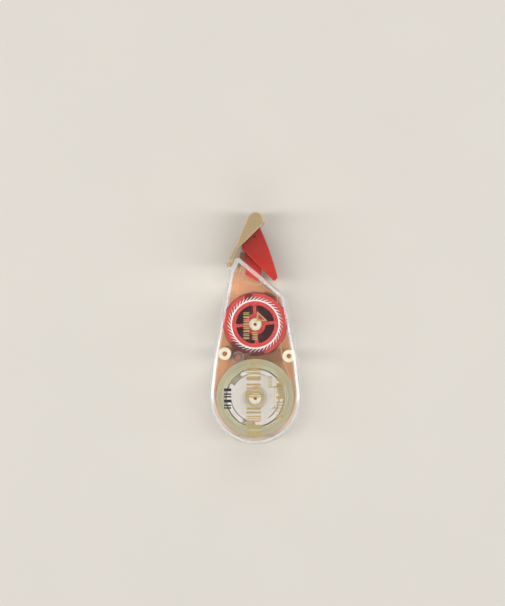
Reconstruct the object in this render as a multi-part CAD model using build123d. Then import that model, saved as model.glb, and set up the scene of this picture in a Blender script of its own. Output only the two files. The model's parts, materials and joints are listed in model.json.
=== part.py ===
from build123d import *
from math import acos, asin, atan2, cos, degrees, hypot, pi, radians, sin, tan
import os

# Pocket correction tape with a clear front, lying on its rear case.
# X runs across the case, Y from the round end to the tip, Z from back to front.
# Everything is drawn about the supply reel's axis (x = 0, y = 0), and export()
# moves it so that the origin lies under the middle of the whole object.

# ---- driving dimensions, millimetres ----
LENGTH = 60.0
THICKNESS = 13.0
ROUND_END_R = 12.0
AXLE_SPACING = 19.0
ORIGIN_SHIFT_Y = ROUND_END_R - LENGTH / 2

# case
WALL = 0.85
FRONT_PLATE = 1.2
REAR_FLOOR = 1.2
CASE_GAP = 0.05
FOOT = 0.6
REAR_INSET = WALL + FOOT + CASE_GAP
LIP = 0.28
FRONT_EDGE_R = 1.5
REAR_EDGE_R = 0.3
SIDE_BULGE = (10.9, 10.7)
SIDE_BEND = (9.35, 19.6)
SHOULDER = (6.7, 32.6)
TOP_LEFT = (-4.7, 36.6)
TOP_RIGHT = (7.85, 26.35)
WEDGE_PEAK = (-3.9, 37.7)
WEDGE_TOP = 3.15
WINDOW_ENDS = (0.9, 1.6)

# posts
AXLE_R = 1.62
AXLE_HOLE_R = 0.45
AXLE_HOLE_BOTTOM = 3.0
JOINING_R = 1.63
JOINING_HOLE_R = 0.6
SOCKET_WALL = 0.12
RIVET_GAP = 0.03
JOINING_LEFT = (-7.85, 11.45)
JOINING_RIGHT = (8.64, 10.83)
RUNNING = 0.05
POST_TOP = THICKNESS - FRONT_PLATE - 0.05
PEG = 0.8

# gear train: supply gear, idler, take-up gear
MODULE = 0.3
SUPPLY_TEETH = 66
IDLER_TEETH = 10
TAKEUP_TEETH = 54
PRESSURE_ANGLE = radians(25)
ADDENDUM = 0.8
DEDENDUM = 1.15
BACKLASH = 0.06
GEAR_BOTTOM = 1.5
GEAR_TOP = 3.1
SHROUD_TOP = 3.45
IDLER_AXLE_R = 0.6

# tape
TAPE_WIDTH = 4.0
TAPE_BOTTOM = 4.5
TAPE_TOP = TAPE_BOTTOM + TAPE_WIDTH
TAPE_THICKNESS = 0.12
TAPE_OFF_ROLL = 0.12
TAPE_ROLL_R = 10.1

# supply reel
SUPPLY_HUB_R = 3.0
CORE_OUTER_R = 8.6
CORE_INNER_R = 7.65
CORE_FLANGE_R = 9.8
WEB_BOTTOM = 6.8
WEB_TOP = 7.5
CLUTCH_R = 7.5
CLUTCH_BOTTOM = 7.7
CLUTCH_TOP = 8.5
CLUTCH_SLOT_R = 6.1
CLUTCH_SLOT = 0.2
CLUTCH_ARMS = 3

# take-up reel
DRUM_R = 5.6
RIM_R = 6.0
WINDOW_R = 5.0
TAKEUP_HUB_R = 2.7
SPOKE = 0.8
SPOKE_ANGLES = (5, 92, 185, 275)
USED_FILM_R = 5.9
FLANGE_R = 8.05
FLANGE_BOTTOM = 8.7
FLANGE_TOP = 9.3
RATCHET_TOP = 10.1
RATCHET_TIP_R = 7.2
RATCHET_ROOT_R = 6.35
RATCHET_TEETH = 42

# head and cover
PLATE = 0.9
REAR_PLATE_BOTTOM = 3.4
FRONT_PLATE_TOP = 9.6
TONGUE_TOP = 7.2
COVER_CLEARANCE = 0.2
COVER_SHEET = 0.9
COVER_WALL = 0.7
COVER_TOP_R = 1.95
COVER_TOP_CENTRE = (0.05, LENGTH - ROUND_END_R - COVER_TOP_R)
COVER_EDGE_R = 0.3
COVER_PIVOT = (-6.75, 34.55)
COVER_EYE_R = 0.62
COVER_PIN_R = 0.3
LUG_R = 1.0

COVER_BOTTOM = REAR_PLATE_BOTTOM - COVER_CLEARANCE - COVER_SHEET
COVER_TOP = FRONT_PLATE_TOP + COVER_CLEARANCE + COVER_SHEET


# ---- helpers ----
def slab(face, bottom, top):
    """A flat shape raised from bottom to top."""
    return extrude(Pos(0, 0, bottom) * face, top - bottom, dir=(0, 0, 1))


def disc(radius, bottom, top, at=(0, 0)):
    """A round bar standing on bottom."""
    height = top - bottom
    return Pos(at[0], at[1], bottom + height / 2) * Cylinder(radius, height)


def ring(outer, inner, bottom, top, at=(0, 0)):
    """A tube standing on bottom."""
    return disc(outer, bottom, top, at) - disc(inner, bottom - 1, top + 1, at)


def on_circle(radius, angle, at=(0, 0)):
    """The point at an angle in degrees on a circle."""
    turn = radians(angle)
    return (at[0] + radius * cos(turn), at[1] + radius * sin(turn))


def sector(outer, inner, start, end, at=(0, 0)):
    """A flat piece of a ring between two angles in degrees."""
    middle = (start + end) / 2
    outer_arc = ThreePointArc(
        on_circle(outer, start, at), on_circle(outer, middle, at), on_circle(outer, end, at)
    )
    inner_arc = ThreePointArc(
        on_circle(inner, end, at), on_circle(inner, middle, at), on_circle(inner, start, at)
    )
    side = Line(outer_arc @ 1, inner_arc @ 0)
    back = Line(inner_arc @ 1, outer_arc @ 0)
    return make_face([outer_arc, side, inner_arc, back])


def blade(points):
    """A flat shape with straight sides."""
    return make_face(Polyline(*points, close=True))


def ribbon(points, radii, bottom, top):
    """A thin band standing on edge along a path with rounded corners."""
    path = FilletPolyline(*points, radius=radii)
    start = path @ 0
    tangent = path % 0
    profile = Pos(start.X, start.Y, (bottom + top) / 2) * (
        Plane(origin=(0, 0, 0), x_dir=(-tangent.Y, tangent.X, 0), z_dir=tangent)
        * Rectangle(TAPE_THICKNESS, top - bottom)
    )
    return sweep(profile, path=Pos(0, 0, (bottom + top) / 2) * path)


def gear_face(teeth, tooth_angle):
    """An involute gear with a tooth centred at tooth_angle, in degrees."""
    pitch_r = MODULE * teeth / 2
    base_r = pitch_r * cos(PRESSURE_ANGLE)
    tip_r = pitch_r + ADDENDUM * MODULE
    root_r = pitch_r - DEDENDUM * MODULE
    start_r = max(base_r, root_r)
    half_tooth = (pi * MODULE / 2 - BACKLASH) / 2 / pitch_r
    flank_steps = 4

    def half_width(radius):
        """Half the tooth's angle at a radius on the involute."""
        angle = acos(min(1, base_r / radius))
        return half_tooth + tan(PRESSURE_ANGLE) - PRESSURE_ANGLE - tan(angle) + angle

    flank = [(root_r, half_width(start_r))]
    if start_r > root_r:
        flank.append((start_r, half_width(start_r)))
    for step in range(1, flank_steps + 1):
        radius = start_r + (tip_r - start_r) * step / flank_steps
        flank.append((radius, half_width(radius)))

    points = []
    for tooth in range(teeth):
        centre = radians(tooth_angle) + 2 * pi * tooth / teeth
        for radius, width in flank:
            points.append((radius * cos(centre - width), radius * sin(centre - width)))
        for radius, width in reversed(flank):
            points.append((radius * cos(centre + width), radius * sin(centre + width)))
    return blade(points)


# ---- gear positions ----
supply_pitch_r = MODULE * SUPPLY_TEETH / 2
idler_pitch_r = MODULE * IDLER_TEETH / 2
takeup_pitch_r = MODULE * TAKEUP_TEETH / 2
supply_to_idler = supply_pitch_r + idler_pitch_r
idler_to_takeup = takeup_pitch_r + idler_pitch_r
TAKEUP = (0, AXLE_SPACING)
idler_y = (AXLE_SPACING**2 + supply_to_idler**2 - idler_to_takeup**2) / (2 * AXLE_SPACING)
IDLER = (-((supply_to_idler**2 - idler_y**2) ** 0.5), idler_y)

# A supply tooth points at the idler, where the idler has a gap, and the take-up
# gear has a gap where the idler's next tooth comes round.
supply_line = degrees(atan2(IDLER[1], IDLER[0]))
takeup_line = degrees(atan2(TAKEUP[1] - IDLER[1], TAKEUP[0] - IDLER[0]))
idler_pitch = 360 / IDLER_TEETH
idler_tooth = supply_line + 180 + idler_pitch / 2
tooth_past_line = (idler_tooth - takeup_line) % idler_pitch
takeup_gap = takeup_line + 180 - tooth_past_line * idler_pitch_r / takeup_pitch_r
takeup_tooth = takeup_gap + 180 / TAKEUP_TEETH


# ---- outlines ----
def case_face(inset=0.0):
    """The drop-shaped case outline: round end, bowed sides, slanted top."""
    start_angle = 3.8
    low_right = on_circle(ROUND_END_R, start_angle)
    low_left = (-low_right[0], low_right[1])
    round_end = ThreePointArc(low_left, (0, -ROUND_END_R), low_right)
    right_bow = ThreePointArc(low_right, SIDE_BULGE, SIDE_BEND)
    right_side = Line(SIDE_BEND, TOP_RIGHT)
    slanted_top = Line(TOP_RIGHT, TOP_LEFT)
    shoulder = Line(TOP_LEFT, (-SHOULDER[0], SHOULDER[1]))
    left_side = Line((-SHOULDER[0], SHOULDER[1]), (-SIDE_BEND[0], SIDE_BEND[1]))
    left_bow = ThreePointArc(
        (-SIDE_BEND[0], SIDE_BEND[1]), (-SIDE_BULGE[0], SIDE_BULGE[1]), low_left
    )
    edges = [round_end, right_bow, right_side, slanted_top, shoulder, left_side, left_bow]
    outline = make_face(edges)
    corners = outline.vertices().filter_by(lambda v: v.Y > SIDE_BEND[1] + 1)
    outline = fillet(corners, 0.8)
    if inset:
        outline = offset(outline, -inset, kind=Kind.INTERSECTION)
    return outline


def plate_face():
    """The head's side plate: a long triangle with a rounded lower corner."""
    top = (0.6, 46.1)
    right_edge = Spline((1.39, 43.7), (3.0, 39.9), (5.85, 31.0))
    lower_corner = (4.95, 30.15)
    left_corner = (-3.6, 38.65)
    left_edge = Spline(left_corner, (-2.0, 42.8), (0.0, 46.0))
    tip = ThreePointArc(left_edge @ 1, (0.32, 46.25), top)
    edges = [
        left_edge,
        tip,
        Line(top, right_edge @ 0),
        right_edge,
        Line(right_edge @ 1, lower_corner),
        Line(lower_corner, left_corner),
    ]
    outline = make_face(edges)
    rounded = outline.vertices().filter_by(lambda v: v.Y < 31.5)
    return fillet(rounded, 0.42)


def cover_face():
    """The cover's cheek: rounded end, straight free edge, leaf-shaped back."""
    top_left = on_circle(COVER_TOP_R, 160, COVER_TOP_CENTRE)
    left_edge = Spline((-5.15, 38.2), (-3.55, 42.9), top_left)
    top_right = on_circle(COVER_TOP_R, 0, COVER_TOP_CENTRE)
    top = ThreePointArc(top_left, on_circle(COVER_TOP_R, 90, COVER_TOP_CENTRE), top_right)
    right_corner = (2.42, 45.3)
    inner_corner = (-4.2, 38.75)
    edges = [
        left_edge,
        top,
        Line(top @ 1, right_corner),
        Line(right_corner, inner_corner),
        Line(inner_corner, left_edge @ 0),
    ]
    return make_face(edges)


def cover_cavity_face():
    """The space between the cheeks, inside the back wall and open to the right."""
    radius = COVER_TOP_R - COVER_WALL
    top_left = on_circle(radius, 160, COVER_TOP_CENTRE)
    top_right = on_circle(radius, 0, COVER_TOP_CENTRE)
    wall_inside = Spline((-4.4, 38.3), (-2.8, 42.8), top_left)
    top = ThreePointArc(top_left, on_circle(radius, 90, COVER_TOP_CENTRE), top_right)
    mouth_top = (2.9, top_right[1])
    mouth_bottom = (-3.6, 37.4)
    edges = [
        wall_inside,
        top,
        Line(top @ 1, mouth_top),
        Line(mouth_top, mouth_bottom),
        Line(mouth_bottom, wall_inside @ 0),
    ]
    return make_face(edges)


def arm_face():
    """The cover's hinge arm, from its eye up into the back wall."""
    towards = (-4.65, 38.9)
    length = hypot(towards[0] - COVER_PIVOT[0], towards[1] - COVER_PIVOT[1])
    across_x = -(towards[1] - COVER_PIVOT[1]) / length
    across_y = (towards[0] - COVER_PIVOT[0]) / length
    half = COVER_EYE_R * 0.8
    corners = []
    for end, side in ((COVER_PIVOT, 1), (towards, 1), (towards, -1), (COVER_PIVOT, -1)):
        corners.append((end[0] + side * half * across_x, end[1] + side * half * across_y))
    return blade(corners)


# ---- sub-parts ----
def make_rear_case():
    """Opaque back: floor, lip round the big reel, post sockets and head rest."""
    floor = slab(case_face(REAR_INSET), 0, REAR_FLOOR)
    wedge_outline = [(-3.9, 32.4), WEDGE_PEAK, (-3.2, 37.5), (-0.6, 33.4), (-1.9, 31.9)]
    wedge = slab(blade(wedge_outline), 0.3, WEDGE_TOP)
    lip_outer = ROUND_END_R - REAR_INSET
    lip = slab(sector(lip_outer, lip_outer - LIP, 170, 370), REAR_FLOOR - 0.2, 4.2)
    case = floor + wedge + lip
    for at in ((0, 0), TAKEUP):
        case += disc(AXLE_R + 0.8, REAR_FLOOR - 0.2, GEAR_BOTTOM - 0.05, at)
    for at in (JOINING_LEFT, JOINING_RIGHT):
        case += disc(JOINING_R + SOCKET_WALL, 0, REAR_FLOOR + 1.2, at)
    case += disc(IDLER_AXLE_R + 0.4, REAR_FLOOR - 0.2, GEAR_BOTTOM - 0.05, IDLER)
    head_rest = blade([(-2.5, 34.0), (-2.2, 31.9), (0.6, 30.2), (1.3, 31.4), (-0.7, 33.6)])
    platform = blade([(1.9, 29.7), (2.5, 27.9), (6.2, 25.7), (6.75, 26.0)])
    case += slab(head_rest, REAR_FLOOR - 0.2, REAR_PLATE_BOTTOM + PLATE - 0.05)
    case += slab(platform, REAR_FLOOR - 0.2, GEAR_TOP)
    within = slab(case_face(REAR_INSET), 0, THICKNESS) + wedge
    for at in (JOINING_LEFT, JOINING_RIGHT):
        within += disc(JOINING_R + SOCKET_WALL, 0, THICKNESS, at)
    case &= within & (slab(case_face(WALL + CASE_GAP), 0, THICKNESS) + wedge)
    for at, radius in (((0, 0), AXLE_R), (TAKEUP, AXLE_R), (IDLER, IDLER_AXLE_R)):
        case -= disc(radius, 0.5, THICKNESS, at)
    for at in (JOINING_LEFT, JOINING_RIGHT):
        case -= disc(JOINING_R, REAR_FLOOR, THICKNESS, at)
    return case


def make_front_case():
    """Clear cover: full-depth wall, rounded front edge, head window and hinge lugs."""
    outer = slab(case_face(), 0, THICKNESS)
    outer = fillet(outer.faces().sort_by(Axis.Z)[-1].edges(), FRONT_EDGE_R)
    outer = fillet(outer.faces().sort_by(Axis.Z)[0].edges(), REAR_EDGE_R)
    inner = slab(case_face(WALL), -1, THICKNESS - FRONT_PLATE)
    inner = fillet(inner.faces().sort_by(Axis.Z)[-1].edges(), 0.4)
    foot = slab(case_face(WALL / 2), 0, REAR_FLOOR) - slab(case_face(WALL + FOOT), -1, THICKNESS)
    for at in (JOINING_LEFT, JOINING_RIGHT):
        foot -= disc(JOINING_R + SOCKET_WALL + CASE_GAP, -1, THICKNESS, at)
    case = outer - inner + foot

    run_x = TOP_RIGHT[0] - TOP_LEFT[0]
    run_y = TOP_RIGHT[1] - TOP_LEFT[1]
    window_length = hypot(run_x, run_y) - sum(WINDOW_ENDS)
    window_height = FRONT_PLATE_TOP + 0.5 - REAR_FLOOR
    share = (WINDOW_ENDS[0] + window_length / 2) / hypot(run_x, run_y)
    window = Pos(
        TOP_LEFT[0] + share * run_x, TOP_LEFT[1] + share * run_y, REAR_FLOOR + window_height / 2
    ) * (Rot(0, 0, degrees(atan2(run_y, run_x))) * Box(window_length, 2.4, window_height))
    case -= window
    wedge_notch = blade([(-5.2, 36.0), (-4.2, 38.5), (-0.3, 33.6), (-1.7, 31.6), (-4.3, 31.9)])
    case -= slab(wedge_notch, -1, REAR_FLOOR + 0.1)

    ribs = [
        [(-3.25, 34.0), (-2.75, 34.0), (-2.75, 30.9), (-3.25, 30.5)],
        [(-3.25, 30.5), (-2.75, 30.9), (-0.4, 29.4), (-0.7, 28.9)],
        [(-0.7, 28.9), (-0.4, 29.4), (1.2, 29.3), (1.1, 28.8)],
        [(1.1, 28.8), (1.2, 29.3), (2.2, 31.0), (2.6, 30.7)],
    ]
    rib_bottom = FRONT_PLATE_TOP - 0.8
    inside = slab(case_face(WALL / 2), 0, THICKNESS - FRONT_PLATE / 2)
    for corners in ribs:
        case += slab(blade(corners), rib_bottom, THICKNESS - FRONT_PLATE + 0.2) & inside

    for at, radius in (((0, 0), AXLE_HOLE_R), (TAKEUP, AXLE_HOLE_R)):
        case += disc(radius - RIVET_GAP, POST_TOP - PEG, THICKNESS - FRONT_PLATE + 0.2, at)
    case += disc(IDLER_AXLE_R + 0.9, RATCHET_TOP + 0.15, THICKNESS - FRONT_PLATE + 0.2, IDLER)

    lug_thickness = 0.9
    towards_case = (COVER_PIVOT[0] + 1.6, COVER_PIVOT[1] - 0.6)
    for bottom in (COVER_BOTTOM - 0.2 - lug_thickness, COVER_TOP + 0.2):
        lug = disc(LUG_R, bottom, bottom + lug_thickness, COVER_PIVOT)
        neck = blade(
            [
                (COVER_PIVOT[0] + 0.3, COVER_PIVOT[1] + 0.9),
                (towards_case[0], towards_case[1] + 1.5),
                (towards_case[0], towards_case[1] - 1.7),
                (COVER_PIVOT[0] - 0.5, COVER_PIVOT[1] - 0.8),
            ]
        )
        lug += slab(neck, bottom, bottom + lug_thickness) - slab(
            case_face(WALL * 0.5), 0, THICKNESS
        )
        case += lug
    case -= disc(COVER_PIN_R, -1, THICKNESS + 1, COVER_PIVOT)
    case -= disc(JOINING_R + 0.02, -1, POST_TOP + 0.02, JOINING_RIGHT)
    case -= disc(IDLER_AXLE_R, 0, POST_TOP, IDLER)
    return case


def make_axle(at):
    """Hollow post with a domed end that a reel turns on."""
    post = disc(AXLE_R, 0.5, POST_TOP, at)
    post = fillet(post.edges().filter_by(GeomType.CIRCLE).sort_by(Axis.Z)[-1], 0.7)
    return post - disc(AXLE_HOLE_R, AXLE_HOLE_BOTTOM, THICKNESS, at)


def make_joining_posts():
    """Two hollow posts that hold the front case to the rear case."""
    posts = []
    for at in (JOINING_LEFT, JOINING_RIGHT):
        post = ring(JOINING_R, JOINING_HOLE_R, REAR_FLOOR, POST_TOP, at)
        posts.append(fillet(post.edges().sort_by(Axis.Z)[-2:], 0.15))
    return posts[0] + posts[1]


def make_rivets(hole_radius, places, bottom, top):
    """Two pins that end part way up the holes of the posts."""
    rivets = [disc(hole_radius - RIVET_GAP, bottom, top, at) for at in places]
    return rivets[0] + rivets[1]


def make_supply_gear():
    """Rear gear of the supply reel with the tall hub that carries the clutch."""
    gear = slab(gear_face(SUPPLY_TEETH, supply_line), GEAR_BOTTOM, GEAR_TOP)
    gear += disc(SUPPLY_HUB_R, GEAR_TOP - 0.2, CLUTCH_TOP + 0.5)
    gear -= ring(7.2, 4.0, GEAR_BOTTOM + 0.8, GEAR_TOP + 1)
    hub_edge = gear.faces().sort_by(Axis.Z)[-1].edges()
    gear = chamfer(hub_edge, 0.25)
    return gear - disc(AXLE_R + RUNNING, 0, THICKNESS)


def make_clutch_disc():
    """Friction disc: three sprung arms press outwards on the tape core."""
    plate = disc(CLUTCH_R - 0.15, CLUTCH_BOTTOM, CLUTCH_TOP)
    for arm in range(CLUTCH_ARMS):
        turn = 360 / CLUTCH_ARMS * arm
        slot = sector(CLUTCH_SLOT_R + CLUTCH_SLOT, CLUTCH_SLOT_R, 64 + turn, 122 + turn)
        window = sector(CLUTCH_R + 1, CLUTCH_SLOT_R, 121 + turn, 150 + turn)
        plate -= slab(slot, CLUTCH_BOTTOM - 1, CLUTCH_TOP + 1)
        plate -= slab(window, CLUTCH_BOTTOM - 1, CLUTCH_TOP + 1)
        pad_at = on_circle(CLUTCH_R - 0.62, 118 + turn)
        plate += disc(0.58, CLUTCH_BOTTOM, CLUTCH_TOP, pad_at)
    return plate - disc(SUPPLY_HUB_R, 0, THICKNESS)


def make_supply_core():
    """Ring that the tape is wound on, with a thin flange behind the tape and a web inside."""
    core = ring(CORE_OUTER_R, CORE_INNER_R, GEAR_TOP + 0.2, TAPE_TOP + 0.2)
    core += ring(CORE_FLANGE_R, CORE_INNER_R, GEAR_TOP + 0.2, GEAR_TOP + 0.7)
    core += ring(CORE_INNER_R + 0.2, SUPPLY_HUB_R + 0.15, WEB_BOTTOM, WEB_TOP)
    groove = ring(CORE_OUTER_R - 0.35, CORE_OUTER_R - 0.5, TAPE_TOP, THICKNESS)
    return core - groove


def make_tape_roll():
    """The wound correction tape."""
    return ring(TAPE_ROLL_R, CORE_OUTER_R, TAPE_BOTTOM, TAPE_TOP)


def make_takeup_gear():
    """Rear gear of the take-up reel, with a thin shroud over its teeth."""
    gear = slab(gear_face(TAKEUP_TEETH, takeup_tooth), GEAR_BOTTOM, GEAR_TOP)
    gear += disc(MODULE * (TAKEUP_TEETH / 2 + ADDENDUM), GEAR_TOP, SHROUD_TOP)
    gear -= disc(AXLE_R + RUNNING, 0, THICKNESS)
    return Pos(*TAKEUP, 0) * gear


def make_takeup_drum():
    """Spoked drum that the used film winds on."""
    drum = ring(DRUM_R, WINDOW_R, SHROUD_TOP, FLANGE_BOTTOM)
    drum += ring(RIM_R, WINDOW_R, FLANGE_BOTTOM - 0.3, FLANGE_TOP + 0.6)
    drum += disc(TAKEUP_HUB_R, SHROUD_TOP, FLANGE_TOP + 0.6)
    spoke_bottom = 7.6
    flare = 0.9
    for angle in SPOKE_ANGLES:
        bar = Pos((TAKEUP_HUB_R + WINDOW_R) / 2, 0) * Rectangle(
            WINDOW_R - TAKEUP_HUB_R + 0.6, SPOKE
        )
        spoke = slab(bar, spoke_bottom, FLANGE_TOP + 0.4)
        if angle in (92, 275):
            end = [(WINDOW_R - 1.1, 0), (WINDOW_R + 0.2, flare), (WINDOW_R + 0.2, -flare)]
            spoke += slab(blade(end), spoke_bottom, FLANGE_TOP + 0.4)
        drum += Rot(0, 0, angle) * spoke
    drum -= disc(AXLE_R + RUNNING, 0, THICKNESS)
    return Pos(*TAKEUP, 0) * drum


def make_takeup_flange():
    """Front flange of the drum, in two sectors with a notch between them."""
    flange = disc(RIM_R + 0.5, FLANGE_BOTTOM, FLANGE_TOP)
    for start, end in ((111, 217), (-71, 95.5)):
        flange += slab(sector(FLANGE_R, RIM_R, start, end), FLANGE_BOTTOM, FLANGE_TOP)
    flange -= disc(RIM_R, 0, THICKNESS)
    return Pos(*TAKEUP, 0) * flange


def make_ratchet_ring():
    """Ring of leaning saw teeth that stops the reels turning backwards."""
    pitch = 360 / RATCHET_TEETH
    lean = 0.85 * pitch
    root_width = 0.42 * pitch
    tip_width = 0.12 * pitch
    points = []
    for tooth in range(RATCHET_TEETH):
        angle = tooth * pitch
        points.append(on_circle(RATCHET_ROOT_R, angle))
        points.append(on_circle(RATCHET_TIP_R, angle - lean))
        points.append(on_circle(RATCHET_TIP_R, angle - lean + tip_width))
        points.append(on_circle(RATCHET_ROOT_R, angle + root_width))
    teeth = slab(blade(points), FLANGE_TOP, RATCHET_TOP)
    return Pos(*TAKEUP, 0) * (teeth - disc(RIM_R, 0, THICKNESS))


def make_used_film():
    """The first turns of used backing film on the drum."""
    return ring(USED_FILM_R, DRUM_R, TAPE_BOTTOM, TAPE_TOP - 0.15, TAKEUP)


def make_idler_gear():
    """Small gear that carries the supply gear's motion to the take-up gear."""
    gear = slab(gear_face(IDLER_TEETH, idler_tooth), GEAR_BOTTOM, GEAR_TOP)
    gear -= disc(IDLER_AXLE_R + RUNNING, 0, THICKNESS)
    return Pos(*IDLER, 0) * gear


def make_idler_axle():
    """Pin that carries the idler at the back and the pawl at the front."""
    return disc(IDLER_AXLE_R, 0.5, POST_TOP, IDLER)


def make_ratchet_pawl():
    """Sprung finger whose tip stands just off the ratchet's teeth."""
    bottom = FLANGE_TOP + 0.15
    top = RATCHET_TOP - 0.05
    tip = on_circle(RATCHET_TIP_R + 0.12, 262, TAKEUP)
    eye = ring(IDLER_AXLE_R + 0.6, IDLER_AXLE_R + RUNNING, bottom, top, IDLER)
    finger = blade(
        [
            (IDLER[0] + 0.8, IDLER[1] + 0.75),
            tip,
            (tip[0] - 0.05, tip[1] - 0.35),
            (IDLER[0] + 1.0, IDLER[1] + 0.1),
        ]
    )
    return eye + slab(finger, bottom, top)


def make_head_frame():
    """Head: two side plates, the web between them and the root in the case."""
    rear = slab(plate_face(), REAR_PLATE_BOTTOM, REAR_PLATE_BOTTOM + PLATE)
    front = slab(plate_face(), FRONT_PLATE_TOP - PLATE, FRONT_PLATE_TOP)
    front = chamfer(front.faces().sort_by(Axis.Z)[-1].edges(), 0.2)
    front -= disc(0.3, FRONT_PLATE_TOP - 0.4, FRONT_PLATE_TOP + 1, (-0.15, 41.6))
    web = blade([(-2.0, 40.6), (1.6, 40.4), (2.8, 36.9), (4.0, 33.1), (3.4, 32.4), (-2.5, 38.0)])
    root = blade(
        [(-2.6, 38.6), (-2.75, 36.5), (-2.5, 31.9), (0.6, 30.1), (1.5, 31.4), (1.7, 34.2)]
    )
    between = slab(web, REAR_PLATE_BOTTOM + 0.1, FRONT_PLATE_TOP - 0.3)
    tongue = slab(root, REAR_PLATE_BOTTOM + PLATE, TONGUE_TOP)
    return rear + front + between + tongue


def make_transfer_tip():
    """Soft wedge whose thin edge presses the tape on the paper."""
    wedge = blade([(-1.45, 40.65), (1.45, 40.45), (0.62, 45.6), (0.42, 46.1), (0.12, 45.7)])
    return slab(wedge, REAR_PLATE_BOTTOM + PLATE + 0.05, FRONT_PLATE_TOP - PLATE - 0.05)


def make_head_cover():
    """Swinging cover: two cheeks, the back wall and the hinge arm."""
    solid = slab(cover_face(), COVER_BOTTOM, COVER_TOP)
    cheeks = solid.faces().sort_by(Axis.Z)
    solid = fillet(cheeks[-1].edges() + cheeks[0].edges(), COVER_EDGE_R)
    cover = solid - slab(
        cover_cavity_face(), COVER_BOTTOM + COVER_SHEET, COVER_TOP - COVER_SHEET
    )
    arm = slab(arm_face(), COVER_BOTTOM, COVER_TOP)
    arm += disc(COVER_EYE_R, COVER_BOTTOM, COVER_TOP, COVER_PIVOT)
    arm -= disc(COVER_PIN_R + RUNNING, -1, THICKNESS + 1, COVER_PIVOT)
    return cover + arm


def make_cover_pin():
    """Hinge pin of the cover, held in the two lugs of the front case."""
    return disc(COVER_PIN_R, COVER_BOTTOM - 1.1, COVER_TOP + 1.1, COVER_PIVOT)


def make_feed_tape():
    """Fresh tape from the roll, round the right post and along the head to its tip."""
    roll_r = TAPE_ROLL_R + TAPE_OFF_ROLL
    post_r = JOINING_R + TAPE_OFF_ROLL
    post_bearing = degrees(atan2(JOINING_RIGHT[1], JOINING_RIGHT[0]))
    off_roll_way = post_bearing + degrees(asin((roll_r + post_r) / hypot(*JOINING_RIGHT)))
    off_roll = on_circle(roll_r, off_roll_way - 90)

    head_corner = (5.3, 31.2)
    up_x = head_corner[0] - JOINING_RIGHT[0]
    up_y = head_corner[1] - JOINING_RIGHT[1]
    to_head_way = degrees(atan2(up_y, up_x) - asin(post_r / hypot(up_x, up_y)))
    half_turn = (off_roll_way - to_head_way) / 2
    past_post = on_circle(
        post_r / cos(radians(half_turn)), off_roll_way - half_turn + 90, JOINING_RIGHT
    )
    route = [off_roll, past_post, head_corner, (3.5, 37.0), (1.05, 43.4), (0.72, 45.8)]
    return ribbon(route, [post_r, 6.0, 12.0, 6.0], TAPE_BOTTOM, TAPE_TOP)


def make_return_film():
    """Bare film from the tip back along the head to the take-up drum."""
    drum_r = USED_FILM_R + TAPE_OFF_ROLL
    touch = on_circle(drum_r, 172, TAKEUP)
    route = [(0.0, 45.9), (-1.75, 41.6), (-3.3, 37.2), (-3.75, 33.6), touch]
    return ribbon(route, [8.0, 8.0, 8.0], TAPE_BOTTOM, TAPE_TOP - 0.15)


# ---- export ----
def export(name, shape):
    """Write one sub-part about the object's origin."""
    placed = Pos(0, ORIGIN_SHIFT_Y, 0) * shape
    export_step(placed, "parts/" + name + ".step")
    return placed.bounding_box()


os.makedirs("parts", exist_ok=True)
SUBPARTS = {
    "rear_case": make_rear_case(),
    "front_case": make_front_case(),
    "supply_axle": make_axle((0, 0)),
    "takeup_axle": make_axle(TAKEUP),
    "joining_posts": make_joining_posts(),
    "joining_rivets": make_rivets(
        JOINING_HOLE_R, (JOINING_LEFT, JOINING_RIGHT), REAR_FLOOR, POST_TOP - 0.5
    ),
    "axle_rivets": make_rivets(
        AXLE_HOLE_R, ((0, 0), TAKEUP), AXLE_HOLE_BOTTOM, POST_TOP - PEG - RIVET_GAP
    ),
    "idler_axle": make_idler_axle(),
    "cover_pin": make_cover_pin(),
    "head_frame": make_head_frame(),
    "transfer_tip": make_transfer_tip(),
    "feed_tape": make_feed_tape(),
    "return_film": make_return_film(),
    "supply_gear": make_supply_gear(),
    "clutch_disc": make_clutch_disc(),
    "supply_core": make_supply_core(),
    "tape_roll": make_tape_roll(),
    "takeup_gear": make_takeup_gear(),
    "takeup_drum": make_takeup_drum(),
    "takeup_flange": make_takeup_flange(),
    "ratchet_ring": make_ratchet_ring(),
    "used_film": make_used_film(),
    "idler_gear": make_idler_gear(),
    "ratchet_pawl": make_ratchet_pawl(),
    "head_cover": make_head_cover(),
}
whole = None
for node, subpart in SUBPARTS.items():
    box = export(node, subpart)
    whole = box if whole is None else whole.add(box)
print("idler at", IDLER[0], IDLER[1] + ORIGIN_SHIFT_Y)
print("whole", whole.min, whole.max)
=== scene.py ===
import json
import math
import random

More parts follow.
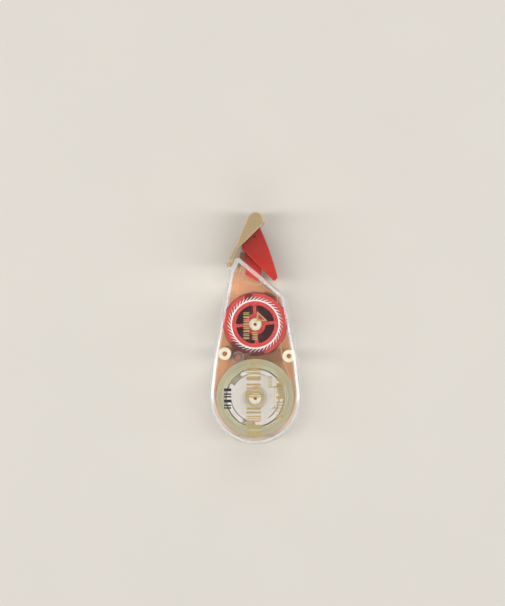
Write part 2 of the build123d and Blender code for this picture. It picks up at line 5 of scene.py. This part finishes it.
import bmesh
import bpy
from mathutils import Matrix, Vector


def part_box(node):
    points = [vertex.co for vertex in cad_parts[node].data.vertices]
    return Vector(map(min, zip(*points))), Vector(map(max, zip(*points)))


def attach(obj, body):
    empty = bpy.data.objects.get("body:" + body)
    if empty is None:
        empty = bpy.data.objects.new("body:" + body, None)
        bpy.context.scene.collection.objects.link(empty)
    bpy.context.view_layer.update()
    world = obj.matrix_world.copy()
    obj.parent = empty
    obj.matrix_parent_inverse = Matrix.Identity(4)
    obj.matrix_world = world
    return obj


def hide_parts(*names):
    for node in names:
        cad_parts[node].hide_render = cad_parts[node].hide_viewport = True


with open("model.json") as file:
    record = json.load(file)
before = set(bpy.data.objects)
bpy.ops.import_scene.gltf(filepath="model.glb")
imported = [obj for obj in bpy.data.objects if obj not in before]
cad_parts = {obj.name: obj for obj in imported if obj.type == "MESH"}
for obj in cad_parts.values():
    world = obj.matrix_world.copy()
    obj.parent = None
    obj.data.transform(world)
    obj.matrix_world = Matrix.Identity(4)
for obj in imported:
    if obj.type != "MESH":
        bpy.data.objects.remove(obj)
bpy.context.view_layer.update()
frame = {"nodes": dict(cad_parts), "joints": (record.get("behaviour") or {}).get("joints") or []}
MM = 0.001

# ---- places read from the frame ----
JOINTS = {joint["name"]: Vector(joint["pos_m"]) for joint in frame["joints"]}
SUPPLY = JOINTS["supply_spin"]
TAKEUP = JOINTS["takeup_spin"]
FRONT_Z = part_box("front_case")[1].z

# ---- camera: straight down on the clear front ----
VIEW_HEIGHT = 155.7 * MM
VIEW_CENTRE = (-0.7 * MM, 6.5 * MM)
CAMERA_DISTANCE = 0.6
SENSOR = 36.0


def make_camera():
    """Looks straight down with a long lens, with the tip of the tape at the top."""
    data = bpy.data.cameras.new("camera")
    data.sensor_width = SENSOR
    data.lens = SENSOR * CAMERA_DISTANCE / VIEW_HEIGHT
    camera = bpy.data.objects.new("camera", data)
    camera.location = (*VIEW_CENTRE, FRONT_Z + CAMERA_DISTANCE)
    bpy.context.scene.collection.objects.link(camera)
    bpy.context.scene.camera = camera


# ---- node helpers ----
# most of a noise lies between these two values
NOISE_LOW, NOISE_HIGH = 0.3, 0.7
# sockets of a colour mix
MIX_FACTOR, MIX_FIRST, MIX_SECOND, MIX_COLOUR = 0, 6, 7, 2


def start_material(name):
    """A material with one Principled shader, and the two things that go with it."""
    material = bpy.data.materials.new(name)
    material.use_nodes = True
    tree = material.node_tree
    return material, tree, tree.nodes["Principled BSDF"]


def add(tree, kind, **settings):
    """A new node, with its plain settings."""
    node = tree.nodes.new(kind)
    for key, value in settings.items():
        setattr(node, key, value)
    return node


def own_place(tree):
    """The place on the object, in its own coordinates, so a pattern turns with a reel."""
    return add(tree, "ShaderNodeTexCoord").outputs["Object"]


def noise(tree, scale, detail=3.0, roughness=0.55):
    """Noise in the object's own coordinates."""
    texture = add(tree, "ShaderNodeTexNoise")
    texture.inputs["Scale"].default_value = scale
    texture.inputs["Detail"].default_value = detail
    texture.inputs["Roughness"].default_value = roughness
    tree.links.new(own_place(tree), texture.inputs["Vector"])
    return texture.outputs["Fac"]


def remap(tree, value, low, high, start=NOISE_LOW, end=NOISE_HIGH):
    """Maps a value between start and end, by default a noise, to the range from low to high."""
    node = add(tree, "ShaderNodeMapRange")
    node.inputs["From Min"].default_value = start
    node.inputs["From Max"].default_value = end
    node.inputs["To Min"].default_value = low
    node.inputs["To Max"].default_value = high
    tree.links.new(value, node.inputs["Value"])
    return node.outputs["Result"]


def combine(tree, operation, first, second):
    """One value worked out from two."""
    node = add(tree, "ShaderNodeMath", operation=operation)
    tree.links.new(first, node.inputs[0])
    tree.links.new(second, node.inputs[1])
    return node.outputs["Value"]


def with_constant(tree, operation, vector, constant):
    """A node that works on a vector and a constant vector."""
    node = add(tree, "ShaderNodeVectorMath", operation=operation)
    node.inputs[1].default_value = constant
    tree.links.new(vector, node.inputs[0])
    return node


def two_tone(tree, value, first, second):
    """Mixes two close colours by a noise value."""
    ramp = add(tree, "ShaderNodeValToRGB")
    ramp.color_ramp.elements[0].position = NOISE_LOW
    ramp.color_ramp.elements[1].position = NOISE_HIGH
    ramp.color_ramp.elements[0].color = (*first, 1)
    ramp.color_ramp.elements[1].color = (*second, 1)
    tree.links.new(value, ramp.inputs["Fac"])
    return ramp.outputs["Color"]


def bump(tree, shader, value, depth, strength=1.0):
    """Raises the surface by a value, to a depth in metres."""
    node = add(tree, "ShaderNodeBump")
    node.inputs["Distance"].default_value = depth
    node.inputs["Strength"].default_value = strength
    tree.links.new(value, node.inputs["Height"])
    tree.links.new(node.outputs["Normal"], shader.inputs["Normal"])
    return node


def darker(colour, share):
    """The same colour with less light."""
    return tuple(channel * share for channel in colour)


def levelness(tree):
    """How level the surface lies: 1 on a flat face, 0 on an upright wall."""
    facing = add(tree, "ShaderNodeSeparateXYZ")
    tree.links.new(add(tree, "ShaderNodeTexCoord").outputs["Normal"], facing.inputs["Vector"])
    level = add(tree, "ShaderNodeMath", operation="ABSOLUTE")
    tree.links.new(facing.outputs["Z"], level.inputs[0])
    return level.outputs["Value"]


# ---- kinds of material: noise scales are per metre, depths in metres ----
# radius of the paler edges, which are partly wear and partly a painted highlight
EDGE_WEAR_AND_HIGHLIGHT = 0.22 * MM
EDGE_LIFT = 0.03
EDGE_SAMPLES = 6
SHARP_EDGE = (0.85, 0.995)
ALMOST_LEVEL = (0.85, 0.98)
ALMOST_UPRIGHT = (0.1, 0.4)
FLOW_SCALE = 140
FLOW_SHARE = 0.92
EDGE_PATCH_SCALE = 700
EDGE_PATCH_RANGE = (0.45, 0.95)
GLOSS_SCALE = 420
SPARK_SCALE = 2600
SPARK_DEPTH = 0.004 * MM
PLASTIC_IOR = 1.5
COAT_ROUGHNESS = 0.12

CLEAR_IOR = 1.2
CLEAR_COAT_ROUGHNESS = 0.05
CLEAR_EDGE = 0.2 * MM
# walls, foot and edges are made less clear as a painted highlight; the round end is kept clear
WALL_TO_FACE = (0.25, 0.95)
FOOT_TOP = 1.3 * MM
FOOT_CLEARNESS = 0.35
ROUND_END = (-29.0 * MM, -23.5 * MM)
ROUND_END_CLEARNESS = 0.85
HAZE_SCALE = 260
RIPPLE_SCALE = 90
RIPPLE_DEPTH = 0.008 * MM

TURN_DEPTH = 0.01 * MM
TURN_GLOSS = (0.42, 0.62)
TURN_GLOSS_SCALE = 900
INK_SHARE = 0.85
SPECK_SCALE = 1500
INK_GLOSS_SCALE = 600
INK_DEPTH = 0.002 * MM
PAPER_COLOUR = (0.70, 0.665, 0.605)
PAPER_SHARE = 0.98
PAPER_ROUGHNESS = 0.75
MOTTLE_SCALE = 30
PAPER_SCALE = 1200
PAPER_DEPTH = 0.02 * MM


def edge_mask(tree, radius):
    """The rounded normal of every edge, and from 0 to 1 how much a point is on an edge or round."""
    bevel = add(tree, "ShaderNodeBevel", samples=EDGE_SAMPLES)
    bevel.inputs["Radius"].default_value = radius
    surface = add(tree, "ShaderNodeNewGeometry")
    compare = add(tree, "ShaderNodeVectorMath", operation="DOT_PRODUCT")
    tree.links.new(bevel.outputs["Normal"], compare.inputs[0])
    tree.links.new(surface.outputs["Normal"], compare.inputs[1])
    sharp = remap(tree, compare.outputs["Value"], 1.0, 0.0, *SHARP_EDGE)
    level = levelness(tree)
    off_flat = remap(tree, level, 1.0, 0.0, *ALMOST_LEVEL)
    off_wall = remap(tree, level, 0.0, 1.0, *ALMOST_UPRIGHT)
    rounded = combine(tree, "MULTIPLY", off_flat, off_wall)
    return bevel.outputs["Normal"], combine(tree, "MAXIMUM", sharp, rounded)


def shaded(tree, colour, shade):
    """Scales a colour along a direction, from a first share to a last one between two places."""
    direction, start, end, first_share, last_share = shade
    along = with_constant(tree, "DOT_PRODUCT", own_place(tree), direction)
    share = remap(tree, along.outputs["Value"], first_share, last_share, start, end)
    scale = add(tree, "ShaderNodeVectorMath", operation="SCALE")
    tree.links.new(colour, scale.inputs[0])
    tree.links.new(share, scale.inputs["Scale"])
    return scale.outputs["Vector"]


def moulded(name, colour, rough, edge=1.3, coat=0.0, wear_and_highlight_radius=EDGE_WEAR_AND_HIGHLIGHT, shade=None):
    """Moulded plastic: flow marks, uneven gloss, fine spark texture, paler edges of wear and
    painted highlight.
    """
    material, tree, shader = start_material(name)
    flow_marks = noise(tree, FLOW_SCALE, detail=4)
    tone = two_tone(tree, flow_marks, darker(colour, FLOW_SHARE), colour)
    # painted shade and painted reflection along a direction, where one is given
    if shade:
        tone = shaded(tree, tone, shade)
    rounded, near_edge = edge_mask(tree, wear_and_highlight_radius)
    patches = remap(tree, noise(tree, EDGE_PATCH_SCALE, detail=4), *EDGE_PATCH_RANGE)
    # paler edge colour: partly wear, partly a painted highlight on the bevels and rounds
    worn_and_highlit = [min(1, channel * edge + EDGE_LIFT) for channel in colour]
    mix = add(tree, "ShaderNodeMix", data_type="RGBA")
    mix.inputs[MIX_SECOND].default_value = (*worn_and_highlit, 1)
    tree.links.new(combine(tree, "MULTIPLY", near_edge, patches), mix.inputs[MIX_FACTOR])
    tree.links.new(tone, mix.inputs[MIX_FIRST])
    tree.links.new(mix.outputs[MIX_COLOUR], shader.inputs["Base Color"])
    gloss = remap(tree, noise(tree, GLOSS_SCALE, detail=5), rough * 0.8, min(1, rough * 1.25))
    tree.links.new(gloss, shader.inputs["Roughness"])
    grain = bump(tree, shader, noise(tree, SPARK_SCALE, detail=2), SPARK_DEPTH)
    tree.links.new(rounded, grain.inputs["Normal"])
    shader.inputs["IOR"].default_value = PLASTIC_IOR
    shader.inputs["Coat Weight"].default_value = coat
    shader.inputs["Coat Roughness"].default_value = COAT_ROUGHNESS
    return material


def clearness(tree, near_edge, wall_clearness, edge_clearness):
    """Clear level faces; walls, foot and edges less clear as a painted highlight, except at the
    round end.
    """
    flat = remap(tree, levelness(tree), wall_clearness, 1.0, *WALL_TO_FACE)
    place = add(tree, "ShaderNodeSeparateXYZ")
    tree.links.new(own_place(tree), place.inputs["Vector"])
    above_foot = remap(tree, place.outputs["Z"], FOOT_CLEARNESS, 1.0, FOOT_TOP, FOOT_TOP + MM)
    rim = remap(tree, near_edge, 1.0, edge_clearness, 0.0, 1.0)
    body = combine(tree, "MULTIPLY", combine(tree, "MINIMUM", flat, above_foot), rim)
    round_end = remap(tree, place.outputs["Y"], ROUND_END_CLEARNESS, 0.0, *ROUND_END)
    return combine(tree, "MAXIMUM", body, round_end)


def clear_plastic(name, tint, rough, wall_clearness, edge_clearness):
    """Clear moulding: polished faces, walls and edges faintly pale as a painted highlight, lamps
    shine through.
    """
    material, tree, shader = start_material(name)
    shader.inputs["Base Color"].default_value = (*tint, 1)
    shader.inputs["IOR"].default_value = CLEAR_IOR
    shader.inputs["Coat Weight"].default_value = 1.0
    shader.inputs["Coat IOR"].default_value = PLASTIC_IOR
    shader.inputs["Coat Roughness"].default_value = CLEAR_COAT_ROUGHNESS
    rounded, near_edge = edge_mask(tree, CLEAR_EDGE)
    clear = clearness(tree, near_edge, wall_clearness, edge_clearness)
    tree.links.new(clear, shader.inputs["Transmission Weight"])
    haze = noise(tree, HAZE_SCALE, detail=6, roughness=0.7)
    tree.links.new(remap(tree, haze, rough * 0.5, rough * 1.8), shader.inputs["Roughness"])
    ripple = bump(tree, shader, noise(tree, RIPPLE_SCALE, detail=2), RIPPLE_DEPTH, 0.5)
    tree.links.new(rounded, ripple.inputs["Normal"])
    through = add(tree, "ShaderNodeBsdfTransparent")
    through.inputs["Color"].default_value = (*tint, 1)
    ray = add(tree, "ShaderNodeLightPath")
    mix = add(tree, "ShaderNodeMixShader")
    tree.links.new(ray.outputs["Is Shadow Ray"], mix.inputs["Fac"])
    tree.links.new(shader.outputs["BSDF"], mix.inputs[1])
    tree.links.new(through.outputs["BSDF"], mix.inputs[2])
    tree.links.new(mix.outputs["Shader"], tree.nodes["Material Output"].inputs["Surface"])
    return material


def wound(name, light, dark, centre, rings_per_mm):
    """Edges of a wound tape: fine rings about the reel's axis, each turn a little different."""
    material, tree, shader = start_material(name)
    from_axis = with_constant(tree, "SUBTRACT", own_place(tree), (centre.x, centre.y, 0))
    flat = with_constant(tree, "MULTIPLY", from_axis.outputs["Vector"], (1, 1, 0))
    radius = add(tree, "ShaderNodeVectorMath", operation="LENGTH")
    tree.links.new(flat.outputs["Vector"], radius.inputs[0])
    turns = add(tree, "ShaderNodeTexNoise", noise_dimensions="1D")
    turns.inputs["Scale"].default_value = rings_per_mm / MM
    turns.inputs["Detail"].default_value = 3
    tree.links.new(radius.outputs["Value"], turns.inputs["W"])
    colour = two_tone(tree, turns.outputs["Fac"], dark, light)
    tree.links.new(colour, shader.inputs["Base Color"])
    gloss = remap(tree, noise(tree, TURN_GLOSS_SCALE, detail=4), *TURN_GLOSS)
    tree.links.new(gloss, shader.inputs["Roughness"])
    bump(tree, shader, turns.outputs["Fac"], TURN_DEPTH)
    return material


def foil(name, colour, metal, rough):
    """Printed ink or foil with a slightly mottled colour and gloss."""
    material, tree, shader = start_material(name)
    speck = noise(tree, SPECK_SCALE, detail=3)
    tone = two_tone(tree, speck, darker(colour, INK_SHARE), colour)
    tree.links.new(tone, shader.inputs["Base Color"])
    shader.inputs["Metallic"].default_value = metal
    gloss = remap(tree, noise(tree, INK_GLOSS_SCALE), rough * 0.8, rough * 1.2)
    tree.links.new(gloss, shader.inputs["Roughness"])
    bump(tree, shader, speck, INK_DEPTH)
    return material


def paper_floor():
    """Pale, slightly mottled table top."""
    material, tree, shader = start_material("floor_pale")
    mottle = noise(tree, MOTTLE_SCALE, detail=5)
    tone = two_tone(tree, mottle, darker(PAPER_COLOUR, PAPER_SHARE), PAPER_COLOUR)
    tree.links.new(tone, shader.inputs["Base Color"])
    shader.inputs["Roughness"].default_value = PAPER_ROUGHNESS
    bump(tree, shader, noise(tree, PAPER_SCALE, detail=4), PAPER_DEPTH, 0.3)
    return material


# ---- the object's materials ----
# cream of the posts and axle ends: painted light, in place of the light coming up through the clear
# bosses
CREAM = (0.62, 0.56, 0.42)
# wider paler edges of the cover: partly wear, partly a painted highlight along its free edge
COVER_WEAR_AND_HIGHLIGHT = 0.4 * MM
# painted shade of the cover on the red head, turning to a painted reflection away from it:
# direction, the two places along it, and the share of the red at each
HEAD_SHADE = ((0.73, -0.68, 0), -17 * MM, -8 * MM, 0.62, 1.15)
RINGS_PER_MM = 14
MATERIALS = {
    "rear_case": moulded("case_beige", (0.76, 0.375, 0.185), 0.42, edge=1.0),
    "front_case": clear_plastic("clear_cover", (0.975, 0.97, 0.96), 0.03, 0.8, 0.68),
    "supply_axle": moulded("post_cream", CREAM, 0.35, edge=1.1),
    # brown of the rivets: the amber pins darkened as painted shade deep inside the posts
    "joining_rivets": moulded("rivet_brown", (0.40, 0.11, 0.032), 0.4),
    # cover and head edges lifted paler: partly wear, partly a painted highlight on their bevels
    "head_cover": moulded("cover_tan", (0.42, 0.30, 0.16), 0.45, edge=1.95, wear_and_highlight_radius=COVER_WEAR_AND_HIGHLIGHT),
    "head_frame": moulded("head_red", (0.46, 0.017, 0.008), 0.36, edge=1.35, shade=HEAD_SHADE),
    "transfer_tip": moulded("tip_white", (0.8, 0.78, 0.72), 0.3),
    "feed_tape": moulded("tape_side", (0.56, 0.50, 0.36), 0.5),
    "return_film": clear_plastic("film_clear", (0.95, 0.92, 0.85), 0.1, 0.7, 0.7),
    "supply_gear": moulded("gear_tan", (0.44, 0.38, 0.27), 0.4),
    "clutch_disc": moulded("clutch_white", (0.56, 0.53, 0.50), 0.33, edge=1.25),
    "supply_core": moulded("core_cream", (0.43, 0.40, 0.27), 0.35),
    # dark maroon of the take-up gear: partly its own darker red, partly painted shade under the
    # flange
    "takeup_gear": moulded("gear_maroon", (0.22, 0.014, 0.017), 0.4),
    "takeup_drum": moulded("reel_red", (0.50, 0.032, 0.027), 0.3, coat=0.3),
    "ratchet_ring": moulded("ratchet_white", (0.82, 0.72, 0.72), 0.35, edge=1.1),
    "idler_gear": moulded("idler_tan", (0.52, 0.25, 0.14), 0.4),
    "ratchet_pawl": clear_plastic("clear_part", (0.96, 0.96, 0.95), 0.06, 0.7, 0.7),
    "tape_roll": wound("tape_edge", (0.41, 0.38, 0.25), (0.33, 0.30, 0.195), SUPPLY, RINGS_PER_MM),
    "used_film": wound("film_edge", (0.62, 0.55, 0.42), (0.45, 0.36, 0.26), TAKEUP, RINGS_PER_MM),
}
SAME_AS = {
    "takeup_axle": "supply_axle",
    "joining_posts": "supply_axle",
    "axle_rivets": "joining_rivets",
    "cover_pin": "head_cover",
    "takeup_flange": "takeup_drum",
    "idler_axle": "idler_gear",
}


def paint_cad_nodes():
    """Gives every CAD node its finished material."""
    for name, node in frame["nodes"].items():
        material = MATERIALS[SAME_AS.get(name, name)]
        for material_slot in node.material_slots:
            material_slot.material = material


# ---- mesh helpers ----
def add_piece(name, builder, material, body):
    """Turns a finished builder into a piece that rides on its body."""
    mesh = bpy.data.meshes.new(name)
    builder.to_mesh(mesh)
    builder.free()
    mesh.materials.append(material)
    piece = bpy.data.objects.new(name, mesh)
    bpy.context.scene.collection.objects.link(piece)
    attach(piece, body)
    return piece


def raise_outline(builder, outline, bottom, top):
    """Adds a prism on a flat outline of (x, y) points."""
    low = [builder.verts.new((x, y, bottom)) for x, y in outline]
    high = [builder.verts.new((x, y, top)) for x, y in outline]
    builder.faces.new(list(reversed(low)))
    builder.faces.new(high)
    count = len(outline)
    for index in range(count):
        after = (index + 1) % count
        builder.faces.new((low[index], low[after], high[after], high[index]))


def rounded_box(centre_x, centre_y, width, height, corner):
    """The outline of a rectangle with rounded corners."""
    points = []
    steps = 4
    for turn, (side_x, side_y) in enumerate(((1, 1), (-1, 1), (-1, -1), (1, -1))):
        corner_x = centre_x + side_x * (width / 2 - corner)
        corner_y = centre_y + side_y * (height / 2 - corner)
        for step in range(steps + 1):
            angle = math.pi / 2 * (turn + step / steps)
            x = corner_x + corner * math.cos(angle)
            y = corner_y + corner * math.sin(angle)
            points.append((x, y))
    return points


def lathe(name, centre, profile, steps, material, body):
    """Turns a closed outline of (radius, height) points about an upright axis."""
    builder = bmesh.new()
    rings = []
    for step in range(steps):
        angle = 2 * math.pi * step / steps
        across, up = math.cos(angle), math.sin(angle)
        ring = [(centre.x + radius * across, centre.y + radius * up, z) for radius, z in profile]
        rings.append([builder.verts.new(point) for point in ring])
    count = len(profile)
    for step in range(steps):
        here, there = rings[step], rings[(step + 1) % steps]
        for index in range(count):
            after = (index + 1) % count
            builder.faces.new((here[index], there[index], there[after], here[after]))
    bmesh.ops.recalc_face_normals(builder, faces=builder.faces)
    for face in builder.faces:
        face.smooth = True
    return add_piece(name, builder, material, body)


# ---- wound tape and film ----
CORE_OUTER = 8.6 * MM
DRUM_OUTER = 5.6 * MM
TURN_PITCH = 0.15 * MM
TURN_GROOVE = 0.09 * MM
TURN_UNEVEN = (0.01 * MM, 0.06 * MM)
TURN_CREST = (0.15 * TURN_PITCH, 0.8 * TURN_PITCH)


def make_winding(node, centre, inner, body, steps, seed):
    """Replaces a plain ring with turns of tape whose edges stand unevenly."""
    low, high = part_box(node)
    outer = (high.x - low.x) / 2
    turns = round((outer - inner) / TURN_PITCH)
    draw = random.Random(seed)
    groove_top = high.z - TURN_GROOVE
    groove_bottom = low.z + TURN_GROOVE
    crest_start, crest_end = TURN_CREST
    top_edge = []
    bottom_edge = []
    for turn in range(turns):
        start = inner + turn * (outer - inner) / turns
        crest = high.z - draw.uniform(*TURN_UNEVEN)
        top_edge += [(start, groove_top), (start + crest_start, crest)]
        top_edge += [(start + crest_end, crest)]
        crest = low.z + draw.uniform(*TURN_UNEVEN)
        bottom_edge += [(start, groove_bottom), (start + crest_start, crest)]
        bottom_edge += [(start + crest_end, crest)]
    top_edge.append((outer, groove_top))
    bottom_edge.append((outer, groove_bottom))
    profile = top_edge + list(reversed(bottom_edge))
    name = node + "_winding"
    winding = lathe(name, centre, profile, steps, MATERIALS[node], body)
    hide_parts(node)


def make_windings():
    """The tape on its core and the used film on its drum."""
    make_winding("tape_roll", SUPPLY, CORE_OUTER, "tape_core", steps=128, seed=4)
    make_winding("used_film", TAKEUP, DRUM_OUTER, "takeup_reel", steps=96, seed=9)


# ---- dark mark ----
MARK_PLACE = TAKEUP + Vector((-0.15 * MM, 22.6 * MM, 0))
MARK_BORE = 0.02 * MM
MARK_RADIUS = 0.28 * MM
MARK_SUNK = 0.12 * MM
MARK_FOOT = 0.45 * MM
MARK_CROWN = ((0.12 * MM, 0), (0.22 * MM, 0.03 * MM), (MARK_RADIUS, 0.1 * MM))


def make_head_mark():
    """Near-black mark in the small hollow of the head's front plate."""
    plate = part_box("head_frame")[1].z
    top = plate - MARK_SUNK
    bottom = plate - MARK_FOOT
    crown = [(radius, top - drop) for radius, drop in MARK_CROWN]
    profile = [(MARK_BORE, bottom), (MARK_BORE, top), *crown, (MARK_RADIUS, bottom)]
    dark = moulded("mark_dark", (0.035, 0.022, 0.02), 0.35)
    lathe("head_mark", MARK_PLACE, profile, 32, dark, "case")


# ---- printed marks on the clear front ----
PRINT_BOTTOM = FRONT_Z - 0.01 * MM
PRINT_TOP = FRONT_Z + 0.008 * MM
CELL_SHARE = 0.74
BAR_SHARE = 1.1
LONE_BAR_SHARE = 0.7
BAR_CORNER = 0.2


def cell_outlines(centre_x, centre_y, width, height, bars):
    """One abstract mark of a printed row: one bar, or a few that share its height."""
    if bars == 1:
        bar = height * LONE_BAR_SHARE
        return [rounded_box(centre_x, centre_y, width, bar, bar * BAR_CORNER)]
    bar = height / (2 * bars - 1) * BAR_SHARE
    pitch = (height - bar) / (bars - 1)
    first = centre_y - height / 2 + bar / 2
    corner = bar * BAR_CORNER
    places = [first + index * pitch for index in range(bars)]
    return [rounded_box(centre_x, place, width, bar, corner) for place in places]


def print_row(name, reel, across, width, span, cells, bars, ink, gaps=()):
    """A row of abstract marks up the case, in millimetres from a reel's axis."""
    builder = bmesh.new()
    bottom, top = span
    pitch = (top - bottom) / cells
    for index in range(cells):
        if index in gaps:
            continue
        x = reel.x + across * MM
        y = reel.y + (bottom + pitch * (index + 0.5)) * MM
        height = pitch * CELL_SHARE * MM
        for outline in cell_outlines(x, y, width * MM, height, bars[index % len(bars)]):
            raise_outline(builder, outline, PRINT_BOTTOM, PRINT_TOP)
    add_piece(name, builder, ink, "case")


def print_triangle(name, reel, offsets, line_share, ink):
    """A plain open triangle, its corners in millimetres from a reel's axis."""
    corners = [(reel.x + x * MM, reel.y + y * MM) for x, y in offsets]
    centre_x = sum(x for x, y in corners) / 3
    centre_y = sum(y for x, y in corners) / 3
    inner = []
    for x, y in corners:
        inner_x = x + (centre_x - x) * line_share
        inner_y = y + (centre_y - y) * line_share
        inner.append((inner_x, inner_y))
    builder = bmesh.new()
    for index in range(3):
        after = (index + 1) % 3
        side = [corners[index], corners[after], inner[after], inner[index]]
        raise_outline(builder, side, PRINT_BOTTOM, PRINT_TOP)
    bmesh.ops.remove_doubles(builder, verts=builder.verts, dist=0.001 * MM)
    add_piece(name, builder, ink, "case")


def make_prints():
    """Generic gold and black marks where the front is printed."""
    gold = foil("print_gold", (0.50, 0.365, 0.15), 0.15, 0.45)
    black = foil("print_black", (0.02, 0.02, 0.02), 0.0, 0.4)
    print_row("print_column", SUPPLY, -0.4, 3.7, (-10.4, 10.3), 10, (2, 1, 3), gold, gaps=(4,))
    print_row("print_side", SUPPLY, 6.45, 2.1, (-5.3, 5.7), 7, (1, 3, 2), gold)
    print_row("print_line", SUPPLY, 5.0, 0.1, (-5.3, 5.8), 1, (1,), gold)
    print_row("print_small", SUPPLY, 3.85, 1.1, (2.6, 5.8), 5, (1, 2), gold)
    print_row("print_black", SUPPLY, -7.1, 1.9, (-2.85, 2.9), 4, (2, 1), black)
    print_row("print_code", TAKEUP, -2.3, 1.5, (-4.0, 3.2), 8, (1, 2), gold)
    print_row("print_mark_foot", TAKEUP, -0.1, 1.4, (-4.1, -1.8), 2, (2,), gold)
    triangle = ((0.5, 3.4), (0.3, 0.8), (3.2, 0.9))
    print_triangle("print_triangle", TAKEUP, triangle, 0.42, gold)


# ---- floor and light ----
FLOOR_HALF = 1.5
LIGHT_TARGET = Vector((0, 0, 6 * MM))
# name, place, width and height in metres, power in watts
SOFTBOXES = (
    ("strip_left", (-0.5, 0.0, 0.5), 0.16, 0.9, 2.5),
    ("strip_right", (0.5, 0.0, 0.5), 0.16, 0.9, 2.3),
    ("softbox_top", (0.05, 0.6, 0.5), 0.7, 0.4, 1.6),
    ("softbox_low", (-0.05, -0.6, 0.5), 0.7, 0.4, 1.3),
)
SURROUND_COLOUR = (1.0, 0.985, 0.96, 1)
SURROUND_STRENGTH = 0.27


def make_floor():
    """A plain pale table top under the object."""
    builder = bmesh.new()
    bmesh.ops.create_grid(builder, x_segments=4, y_segments=4, size=FLOOR_HALF)
    mesh = bpy.data.meshes.new("floor")
    builder.to_mesh(mesh)
    builder.free()
    mesh.materials.append(paper_floor())
    floor = bpy.data.objects.new("floor", mesh)
    bpy.context.scene.collection.objects.link(floor)


def add_softbox(name, place, width, height, power):
    """A rectangular lamp at a place, aimed at the object."""
    data = bpy.data.lights.new(name, "AREA")
    data.shape = "RECTANGLE"
    data.size = width
    data.size_y = height
    data.energy = power
    lamp = bpy.data.objects.new(name, data)
    lamp.location = place
    lamp.rotation_mode = "QUATERNION"
    lamp.rotation_quaternion = (LIGHT_TARGET - Vector(place)).to_track_quat("-Z", "Y")
    bpy.context.scene.collection.objects.link(lamp)


def make_light():
    """Even studio light: a strip on each side, a softbox past each end and a pale surround."""
    for softbox in SOFTBOXES:
        add_softbox(*softbox)
    world = bpy.data.worlds.new("surround")
    world.use_nodes = True
    background = world.node_tree.nodes["Background"]
    background.inputs["Color"].default_value = SURROUND_COLOUR
    background.inputs["Strength"].default_value = SURROUND_STRENGTH
    bpy.context.scene.world = world
    bpy.context.scene.view_settings.view_transform = "Standard"


make_camera()
paint_cad_nodes()
make_windings()
make_head_mark()
make_prints()
make_floor()
make_light()
